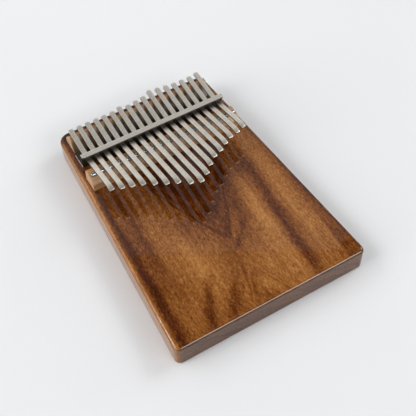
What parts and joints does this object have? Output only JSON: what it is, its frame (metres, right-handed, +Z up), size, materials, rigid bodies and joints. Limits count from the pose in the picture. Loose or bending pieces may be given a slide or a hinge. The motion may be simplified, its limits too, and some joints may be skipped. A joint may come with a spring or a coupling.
{
  "type": "mbira",
  "caption": "Lamellophone with a V of flat steel tines over wooden bridges, held down by a Z-section bracket on a solid, tapered hardwood board.",
  "frame": {"origin": "centre of the board's underside, on the surface it rests on", "axes": "+Z up out of the board's top; +Y along the board towards the tails of the tines, so the playing tips point to -Y; +X to the player's right"},
  "size_m": [0.151, 0.211, 0.0453],
  "materials": {
    "board_wood": "gloss lacquer over a strongly figured brown hardwood",
    "bridge_wood": "smooth satin, pale close-grained hardwood",
    "tine_steel": "satin spring steel, drawn along its length",
    "bracket_steel": "satin plated steel",
    "rod_steel": "polished round steel",
    "screw_steel": "dark oxide steel"
  },
  "bodies": {
    "board": {"board": "board_wood", "rear_bridge": "bridge_wood", "front_bridge": "bridge_wood", "bridge_rod": "rod_steel", "z_bracket": "bracket_steel", "bracket_screws": "screw_steel"},
    "tine_01": {"tine_01_tail": "tine_steel"},
    "tine_02": {"tine_02_tail": "tine_steel"},
    "tine_03": {"tine_03_tail": "tine_steel"},
    "tine_04": {"tine_04_tail": "tine_steel"},
    "tine_05": {"tine_05_tail": "tine_steel"},
    "tine_06": {"tine_06_tail": "tine_steel"},
    "tine_07": {"tine_07_tail": "tine_steel"},
    "tine_08": {"tine_08_tail": "tine_steel"},
    "tine_09": {"tine_09_tail": "tine_steel"},
    "tine_10": {"tine_10_tail": "tine_steel"},
    "tine_11": {"tine_11_tail": "tine_steel"},
    "tine_12": {"tine_12_tail": "tine_steel"},
    "tine_13": {"tine_13_tail": "tine_steel"},
    "tine_14": {"tine_14_tail": "tine_steel"},
    "tine_15": {"tine_15_tail": "tine_steel"},
    "tine_16": {"tine_16_tail": "tine_steel"},
    "tine_17": {"tine_17_tail": "tine_steel"},
    "reed_01": {"tine_01_reed": "tine_steel"},
    "reed_02": {"tine_02_reed": "tine_steel"},
    "reed_03": {"tine_03_reed": "tine_steel"},
    "reed_04": {"tine_04_reed": "tine_steel"},
    "reed_05": {"tine_05_reed": "tine_steel"},
    "reed_06": {"tine_06_reed": "tine_steel"},
    "reed_07": {"tine_07_reed": "tine_steel"},
    "reed_08": {"tine_08_reed": "tine_steel"},
    "reed_09": {"tine_09_reed": "tine_steel"},
    "reed_10": {"tine_10_reed": "tine_steel"},
    "reed_11": {"tine_11_reed": "tine_steel"},
    "reed_12": {"tine_12_reed": "tine_steel"},
    "reed_13": {"tine_13_reed": "tine_steel"},
    "reed_14": {"tine_14_reed": "tine_steel"},
    "reed_15": {"tine_15_reed": "tine_steel"},
    "reed_16": {"tine_16_reed": "tine_steel"},
    "reed_17": {"tine_17_reed": "tine_steel"}
  },
  "joints": [
    {"name": "tine_01_tuning", "type": "slide", "parent": "board", "child": "tine_01", "axis": [0, 0.9982, -0.0599], "range_m": [-0.001, 0.001]},
    {"name": "tine_02_tuning", "type": "slide", "parent": "board", "child": "tine_02", "axis": [0, 0.9982, -0.0599], "range_m": [-0.001, 0.001]},
    {"name": "tine_03_tuning", "type": "slide", "parent": "board", "child": "tine_03", "axis": [0, 0.9982, -0.0599], "range_m": [-0.001, 0.001]},
    {"name": "tine_04_tuning", "type": "slide", "parent": "board", "child": "tine_04", "axis": [0, 0.9982, -0.0599], "range_m": [-0.001, 0.001]},
    {"name": "tine_05_tuning", "type": "slide", "parent": "board", "child": "tine_05", "axis": [0, 0.9982, -0.0599], "range_m": [-0.001, 0.001]},
    {"name": "tine_06_tuning", "type": "slide", "parent": "board", "child": "tine_06", "axis": [0, 0.9982, -0.0599], "range_m": [-0.001, 0.001]},
    {"name": "tine_07_tuning", "type": "slide", "parent": "board", "child": "tine_07", "axis": [0, 0.9982, -0.0599], "range_m": [-0.001, 0.001]},
    {"name": "tine_08_tuning", "type": "slide", "parent": "board", "child": "tine_08", "axis": [0, 0.9982, -0.0599], "range_m": [-0.001, 0.001]},
    {"name": "tine_09_tuning", "type": "slide", "parent": "board", "child": "tine_09", "axis": [0, 0.9982, -0.0599], "range_m": [-0.001, 0.001]},
    {"name": "tine_10_tuning", "type": "slide", "parent": "board", "child": "tine_10", "axis": [0, 0.9982, -0.0599], "range_m": [-0.001, 0.001]},
    {"name": "tine_11_tuning", "type": "slide", "parent": "board", "child": "tine_11", "axis": [0, 0.9982, -0.0599], "range_m": [-0.001, 0.001]},
    {"name": "tine_12_tuning", "type": "slide", "parent": "board", "child": "tine_12", "axis": [0, 0.9982, -0.0599], "range_m": [-0.001, 0.001]},
    {"name": "tine_13_tuning", "type": "slide", "parent": "board", "child": "tine_13", "axis": [0, 0.9982, -0.0599], "range_m": [-0.001, 0.001]},
    {"name": "tine_14_tuning", "type": "slide", "parent": "board", "child": "tine_14", "axis": [0, 0.9982, -0.0599], "range_m": [-0.001, 0.001]},
    {"name": "tine_15_tuning", "type": "slide", "parent": "board", "child": "tine_15", "axis": [0, 0.9982, -0.0599], "range_m": [-0.001, 0.001]},
    {"name": "tine_16_tuning", "type": "slide", "parent": "board", "child": "tine_16", "axis": [0, 0.9982, -0.0599], "range_m": [-0.001, 0.001]},
    {"name": "tine_17_tuning", "type": "slide", "parent": "board", "child": "tine_17", "axis": [0, 0.9982, -0.0599], "range_m": [-0.001, 0.001]},
    {"name": "reed_01_pluck", "type": "hinge", "parent": "tine_01", "child": "reed_01", "pos_m": [-0.056, 0.0468, 0.03306], "axis": [1, 0, 0], "range_deg": [-3, 4], "stiffness_Nm_per_rad": 13.6},
    {"name": "reed_02_pluck", "type": "hinge", "parent": "tine_02", "child": "reed_02", "pos_m": [-0.049, 0.0468, 0.03306], "axis": [1, 0, 0], "range_deg": [-3, 4], "stiffness_Nm_per_rad": 12.2},
    {"name": "reed_03_pluck", "type": "hinge", "parent": "tine_03", "child": "reed_03", "pos_m": [-0.042, 0.0468, 0.03306], "axis": [1, 0, 0], "range_deg": [-3, 4], "stiffness_Nm_per_rad": 11.1},
    {"name": "reed_04_pluck", "type": "hinge", "parent": "tine_04", "child": "reed_04", "pos_m": [-0.035, 0.0468, 0.03306], "axis": [1, 0, 0], "range_deg": [-3, 4], "stiffness_Nm_per_rad": 10.1},
    {"name": "reed_05_pluck", "type": "hinge", "parent": "tine_05", "child": "reed_05", "pos_m": [-0.028, 0.0468, 0.03306], "axis": [1, 0, 0], "range_deg": [-3, 4], "stiffness_Nm_per_rad": 8.9},
    {"name": "reed_06_pluck", "type": "hinge", "parent": "tine_06", "child": "reed_06", "pos_m": [-0.021, 0.0468, 0.03306], "axis": [1, 0, 0], "range_deg": [-3, 4], "stiffness_Nm_per_rad": 7.9},
    {"name": "reed_07_pluck", "type": "hinge", "parent": "tine_07", "child": "reed_07", "pos_m": [-0.014, 0.0468, 0.03306], "axis": [1, 0, 0], "range_deg": [-3, 4], "stiffness_Nm_per_rad": 7.2},
    {"name": "reed_08_pluck", "type": "hinge", "parent": "tine_08", "child": "reed_08", "pos_m": [-0.007, 0.0468, 0.03306], "axis": [1, 0, 0], "range_deg": [-3, 4], "stiffness_Nm_per_rad": 6.4},
    {"name": "reed_09_pluck", "type": "hinge", "parent": "tine_09", "child": "reed_09", "pos_m": [0, 0.0468, 0.03306], "axis": [1, 0, 0], "range_deg": [-3, 4], "stiffness_Nm_per_rad": 6.1},
    {"name": "reed_10_pluck", "type": "hinge", "parent": "tine_10", "child": "reed_10", "pos_m": [0.007, 0.0468, 0.03306], "axis": [1, 0, 0], "range_deg": [-3, 4], "stiffness_Nm_per_rad": 6.7},
    {"name": "reed_11_pluck", "type": "hinge", "parent": "tine_11", "child": "reed_11", "pos_m": [0.014, 0.0468, 0.03306], "axis": [1, 0, 0], "range_deg": [-3, 4], "stiffness_Nm_per_rad": 7.7},
    {"name": "reed_12_pluck", "type": "hinge", "parent": "tine_12", "child": "reed_12", "pos_m": [0.021, 0.0468, 0.03306], "axis": [1, 0, 0], "range_deg": [-3, 4], "stiffness_Nm_per_rad": 8.9},
    {"name": "reed_13_pluck", "type": "hinge", "parent": "tine_13", "child": "reed_13", "pos_m": [0.028, 0.0468, 0.03306], "axis": [1, 0, 0], "range_deg": [-3, 4], "stiffness_Nm_per_rad": 9.6},
    {"name": "reed_14_pluck", "type": "hinge", "parent": "tine_14", "child": "reed_14", "pos_m": [0.035, 0.0468, 0.03306], "axis": [1, 0, 0], "range_deg": [-3, 4], "stiffness_Nm_per_rad": 11.1},
    {"name": "reed_15_pluck", "type": "hinge", "parent": "tine_15", "child": "reed_15", "pos_m": [0.042, 0.0468, 0.03306], "axis": [1, 0, 0], "range_deg": [-3, 4], "stiffness_Nm_per_rad": 12.7},
    {"name": "reed_16_pluck", "type": "hinge", "parent": "tine_16", "child": "reed_16", "pos_m": [0.049, 0.0468, 0.03306], "axis": [1, 0, 0], "range_deg": [-3, 4], "stiffness_Nm_per_rad": 13.6},
    {"name": "reed_17_pluck", "type": "hinge", "parent": "tine_17", "child": "reed_17", "pos_m": [0.056, 0.0468, 0.03306], "axis": [1, 0, 0], "range_deg": [-3, 4], "stiffness_Nm_per_rad": 15.4}
  ]
}
